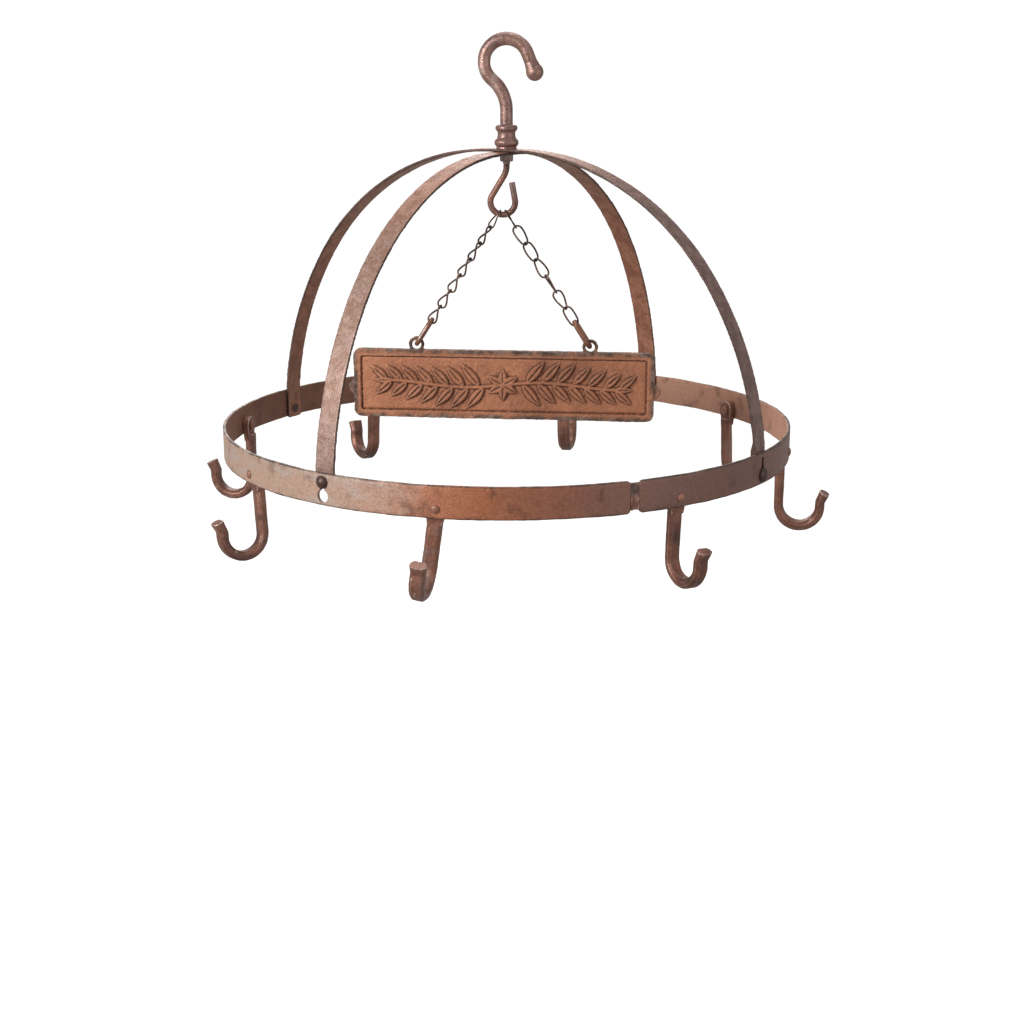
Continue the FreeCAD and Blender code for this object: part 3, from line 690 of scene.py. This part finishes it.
def splice():
    """A lumpy weld between the band's ends: notched at the top, swollen and ridged lower down."""
    obj = forged("ring_splice", 0.42 * MM, [], soften=1)
    lo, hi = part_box("ring_splice")
    middle = (lo.z + hi.z) / 2
    half = (hi.z - lo.z) / 2
    angle = splice_angle()
    out = np.array((math.cos(angle), math.sin(angle), 0))
    side = np.array((-math.sin(angle), math.cos(angle), 0))
    face_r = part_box("ring_band")[1].x - BAND_THICK
    points = coordinates(obj.data)
    depth = points @ out
    across = points @ side
    up = (points[:, 2] - middle) / half
    weld = np.clip((depth - face_r) / (1.0 * MM), 0, 1)
    low_part = np.clip(0.5 - up * 1.4, 0, 1)
    points += out * (weld * (WELD_LOW * low_part + WELD_HIGH * (1 - low_part)))[:, None]
    ridge = np.exp(-((across - RIDGE_AT) / (0.8 * MM)) ** 2) * low_part
    points += out * (weld * ridge * WELD_RIDGE)[:, None]
    dip = np.exp(-(across / (1.8 * MM)) ** 2) * weld
    points[:, 2] += dip * (np.clip(up, 0, 1) * -WELD_NOTCH + np.clip(-up, 0, 1) * WELD_SAG)
    points += normals(obj.data) * (weld * WELD_LUMPS * noise3(points, 480, 8))[:, None]
    put_back(obj.data, points)
    take_over(obj, "ring_splice", MATERIALS["weld"])


# ---------------------------------------------------------------- sign

def leaf(x, z, root, heading, length, width):
    """Height of one raised leaf with a vein down its middle."""
    dx, dz = x - root[0], z - root[1]
    along = (dx * math.cos(heading) + dz * math.sin(heading)) / length
    across = np.abs(dz * math.cos(heading) - dx * math.sin(heading))
    half = width / 2 * np.sin(math.pi * np.clip(along, 0, 1) ** 0.75)
    rise = np.clip((half - across) / RELIEF_EDGE, 0, 1)
    vein = 1 - 0.45 * np.exp(-(across / (0.45 * MM)) ** 2) * np.clip(6 * along, 0, 1)
    return RELIEF_HEIGHT * rise * rise * (3 - 2 * rise) * vein


def bud(x, z, centre, radius):
    """Height of one round bud."""
    far = np.hypot(x - centre[0], z - centre[1])
    return RELIEF_HEIGHT * 1.05 * np.sqrt(np.clip(1 - (far / radius) ** 2, 0, 1))


def stem_height(x):
    return STEM_SWAY * np.sin(np.asarray(x) * math.pi / (STEM_REACH * 0.62))


def between(pair, part):
    return pair[0] + (pair[1] - pair[0]) * part


def half_sprig(x, z, tall, side):
    """The raised heights with one side's leaves and buds added."""
    for i in range(LEAF_PAIRS):
        part = i / (LEAF_PAIRS - 1)
        at = side * (FIRST_LEAF + part * LEAF_RUN)
        lean = math.radians(between(LEAF_LEAN, part))
        size = between(LEAF_LENGTH, part), between(LEAF_WIDTH, part)
        for way in (-1, 1):
            root = (at + side * (way * 1.6 + 1.6) * MM, float(stem_height(at)) + way * 0.6 * MM)
            heading = way * lean if side > 0 else math.pi - way * lean
            tall = np.maximum(tall, leaf(x, z, root, heading, *size))
        if i % 2 == 0 and i > 0:
            spot = at - side * 5.0 * MM
            for off in (BUD_OFF, -BUD_OFF):
                tall = np.maximum(tall, bud(x, z, (spot, float(stem_height(spot)) + off), BUD_R))
    tip = side * STEM_REACH * 0.97
    root = (tip - side * 7 * MM, float(stem_height(tip)))
    return np.maximum(tall, leaf(x, z, root, 0.0 if side > 0 else math.pi, *TIP_LEAF))


def sprig(x, z):
    """Height of two raised sprigs that start either side of a small flower, about the field's centre."""
    rise = np.clip((STEM_HALF - np.abs(z - stem_height(x))) / (0.8 * MM), 0, 1)
    taper = np.clip((STEM_REACH - np.abs(x)) / (6 * MM), 0, 1)
    tall = RELIEF_HEIGHT * 0.85 * rise * rise * (3 - 2 * rise) * taper
    for side in (-1, 1):
        tall = half_sprig(x, z, tall, side)
    for i in range(6):
        tall = np.maximum(tall, leaf(x, z, (0.0, 0.0), math.radians(30 + 60 * i), *PETAL))
    return np.maximum(tall, bud(x, z, (0.0, 0.0), FLOWER_R))


def sign():
    """The cast plate: raised sprigs on its field and a sand-cast skin all over."""
    obj = forged("sign_plate", 0.5 * MM, [], soften=2)
    plate_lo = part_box("sign_plate")[0]
    centre_x = (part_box("tie_link_left")[0].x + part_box("tie_link_right")[1].x) / 2
    half_height = SIGN_HEIGHT / 2
    centre_z = plate_lo.z + half_height
    front = plate_lo.y
    points = coordinates(obj.data)
    out = normals(obj.data)
    x = points[:, 0] - centre_x
    z = points[:, 2] - centre_z
    half_x = SIGN_HALF - FIELD_INSET
    half_z = half_height - FIELD_INSET
    on_front = (points[:, 1] < front + 2.2 * MM) & (out[:, 1] < -0.5)
    inside = on_front & (np.abs(x) < half_x) & (np.abs(z) < half_z)
    from_rim = np.minimum(SIGN_HALF - np.abs(x), half_height - np.abs(z)) - RIM_WIDTH
    groove = np.exp(-((from_rim - 0.5 * GROOVE) / (0.5 * GROOVE)) ** 2) * on_front
    behind_rim = points[:, 1] > front + 1.0 * MM
    points[:, 1] += GROOVE_DEPTH * groove * behind_rim - np.where(inside, sprig(x, z), 0.0)
    for height, cells, seed in CAST_SKIN:
        points += out * (height * noise3(points, cells, seed))[:, None]
    put_back(obj.data, points)
    take_over(obj, "sign_plate", MATERIALS["sign"])


# ---------------------------------------------------------------- chains

def loop_outline(length, top_r, low_r):
    """(across, down) round a link's flat outline, from the middle of its upper loop."""
    turns = [math.radians(a) for a in range(-90, 91, 10)]
    upper = [(top_r * math.sin(a), top_r * (1 - math.cos(a))) for a in turns]
    lower = [(low_r * math.sin(-a), length - low_r * (1 - math.cos(a))) for a in turns]
    outline = []
    for arc, follow in ((upper, lower), (lower, upper)):
        outline += arc
        a, b = arc[-1], follow[0]
        outline += [(a[0] + (b[0] - a[0]) * f / 8, a[1] + (b[1] - a[1]) * f / 8) for f in range(1, 8)]
    return outline


def tube(name, path, radius, sides=12):
    """A closed tube of round wire along a closed path."""
    tangents = np.roll(path, -1, 0) - np.roll(path, 1, 0)
    tangents /= np.linalg.norm(tangents, axis=1)[:, None]
    first = np.cross(tangents[0], (0.3, 0.9, 0.1))
    ups = [first / np.linalg.norm(first)]
    for t in list(tangents[1:]) + [tangents[0]]:
        up = ups[-1] - t * np.dot(ups[-1], t)
        ups.append(up / np.linalg.norm(up))
    slip = math.atan2(np.dot(np.cross(ups[0], ups[-1]), tangents[0]), np.dot(ups[0], ups[-1]))
    count = len(path)
    verts = []
    for i, (spot, t, up) in enumerate(zip(path, tangents, ups)):
        side = np.cross(t, up)
        for k in range(sides):
            a = 2 * math.pi * k / sides - slip * i / count
            verts.append(spot + radius * (math.cos(a) * up + math.sin(a) * side))
    faces = []
    for i in range(count):
        j = (i + 1) % count
        for k in range(sides):
            m = (k + 1) % sides
            faces.append((i * sides + k, i * sides + m, j * sides + m, j * sides + k))
    obj = new_object(name, verts, faces)
    obj.data.shade_smooth()
    return obj


def chain_link(side, index, axis):
    """A hand-twisted wire link that hangs where the CAD link hangs."""
    node = f"chain_link_{side}_{index}"
    across = np.array((-axis[2], 0.0, axis[0]))
    points = coordinates(NODES[node].data)
    along, aside = points @ axis, points @ across
    wire, growth = (CAD_WIRE, 0.0) if index == 1 else (LINK_WIRE, LINK_GROWTH)
    top = along.min() + CAD_WIRE - growth
    length = along.max() - CAD_WIRE + growth - top
    origin = axis * top + across * (aside.min() + aside.max()) / 2
    start, twist = (math.radians(a) for a in LINK_TURNS[side][index - 1])
    path = []
    for off, down in loop_outline(length, FIRST_LOOP if index == 1 else LINK_LOOP, LINK_LOOP):
        part = down / length
        turn = start + twist * (3 * part ** 2 - 2 * part ** 3)
        sideways = np.array((0, off * math.cos(turn), 0))
        path.append(origin + axis * down - across * off * math.sin(turn) + sideways)
    take_over(tube(node + "_wire", np.array(path), wire), node, MATERIALS["chain"])


def chains():
    """The visible links hang on the straight line through the CAD links' centres."""
    for side in ("left", "right"):
        near, far = (sum(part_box(f"chain_link_{side}_{i}"), Vector()) / 2 for i in (2, 7))
        way = (far - near).normalized()
        for index in range(1, 8):
            chain_link(side, index, np.array((way.x, 0.0, way.z)))
        keep(f"tie_link_{side}", MATERIALS["tie"])


# ---------------------------------------------------------------- all pieces

def pieces():
    """Every piece of the rack, made from its CAD node or standing for it."""
    ring_band()
    splice()
    sign()
    band_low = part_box("ring_band")[0].z
    hammered = [(0.16 * MM, 9 * MM, 21), (0.07 * MM, 2.6 * MM, 22)]
    dome_strap("upper_strap", "strap_stud_1")
    dome_strap("lower_strap", "strap_stud_2")
    for i in range(1, 5):
        node = f"strap_stud_{i}"
        take_over(forged(node, 0.3 * MM, [(0.16 * MM, 2.4 * MM, 40 + i)], 1), node, MATERIALS["stud"])
    for i in range(1, 9):
        node = f"drying_hook_{i}"
        waves = [(height, length, seed + 7 * i) for height, length, seed in hammered]
        hook = forged(node, 0.45 * MM, waves, 1, calm_above=band_low)
        clear_bore(hook, f"hook_rivet_{i}", BORE)
        take_over(hook, node, MATERIALS["drying_hook"])
        node = f"hook_rivet_{i}"
        rivet = forged(node, 0.25 * MM, [(0.03 * MM, 1.6 * MM, 60 + i)], 1)
        take_over(rivet, node, MATERIALS["rivet"])
    take_over(forged("top_hook", 0.4 * MM, [(0.14 * MM, 11 * MM, 71), (0.05 * MM, 2.4 * MM, 72)], 1),
              "top_hook", MATERIALS["top_hook"])
    keep("chain_hook", MATERIALS["lower_hook"])
    keep("hex_nut", MATERIALS["lower_hook"])
    chains()


# ---------------------------------------------------------------- stage, lights and camera

def stage():
    """A pale bowl: a flat floor that curves up into a wall on every side."""
    floor_z = cad_box[0].z - 0.62
    flat, bend, rise = 3.2, 2.2, 3.0
    outline = [(0.001, 0.0), (flat, 0.0)]
    outline += [(flat + bend * math.sin(a), bend - bend * math.cos(a))
                for a in (math.radians(8 * i) for i in range(1, 12))]
    outline += [(flat + bend + 0.02, bend + rise)]
    turns = 96
    verts = [(r * math.cos(2 * math.pi * i / turns), r * math.sin(2 * math.pi * i / turns), floor_z + z)
             for r, z in outline for i in range(turns)]
    corners = [(i, (i + 1) % turns) for i in range(turns)]
    faces = [(k * turns + i, k * turns + j, (k + 1) * turns + j, (k + 1) * turns + i)
             for k in range(len(outline) - 1) for i, j in corners]
    bowl = new_object("studio_bowl", verts, faces)
    bowl.data.shade_smooth()
    g = Graph("studio_paper")
    g.shader.inputs["Base Color"].default_value = (0.86, 0.86, 0.85, 1)
    g.shader.inputs["Roughness"].default_value = 0.9
    g.shader.inputs["Emission Color"].default_value = (1, 0.995, 0.985, 1)
    g.shader.inputs["Emission Strength"].default_value = 0.62
    bowl.data.materials.append(g.material)
    bowl.visible_diffuse = False
    bowl.visible_glossy = False
    bowl.visible_shadow = False


def area_light(name, spot, target, size, power):
    lamp = bpy.data.lights.new(name, "AREA")
    lamp.shape = "DISK"
    lamp.size = size
    lamp.energy = power
    obj = bpy.data.objects.new(name, lamp)
    obj.location = spot
    obj.rotation_euler = (Vector(target) - Vector(spot)).to_track_quat("-Z", "Y").to_euler()
    bpy.context.scene.collection.objects.link(obj)


def lights():
    centre = (cad_box[0] + cad_box[1]) / 2
    area_light("key", (-1.4, -1.5, 0.45), centre, 0.9, 46)
    area_light("fill", (1.7, -1.0, 0.1), centre, 1.4, 9)
    area_light("top", (0.1, 0.35, 1.5), centre, 1.3, 17)
    area_light("back", (-0.4, 1.7, 0.5), centre, 1.2, 9)
    world = bpy.data.worlds.new("studio")
    world.use_nodes = True
    sky = world.node_tree.nodes["Background"]
    sky.inputs["Color"].default_value = (1, 0.99, 0.98, 1)
    sky.inputs["Strength"].default_value = 0.42
    bpy.context.scene.world = world


def camera():
    ring_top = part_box("ring_band")[1].z
    lens = bpy.data.cameras.new("view")
    lens.lens = LENS
    lens.sensor_width = 36.0
    lens.clip_start = 0.05
    lens.clip_end = 60.0
    obj = bpy.data.objects.new("view", lens)
    obj.location = (VIEW_DISTANCE * math.sin(VIEW_TURN), -VIEW_DISTANCE * math.cos(VIEW_TURN),
                    ring_top + VIEW_ABOVE_RING)
    obj.rotation_euler = (math.pi / 2 - VIEW_PITCH, 0, VIEW_TURN + VIEW_YAW)
    bpy.context.scene.collection.objects.link(obj)
    bpy.context.scene.camera = obj


camera()
stage()
lights()
pieces()
bpy.context.scene.view_settings.view_transform = "Standard"
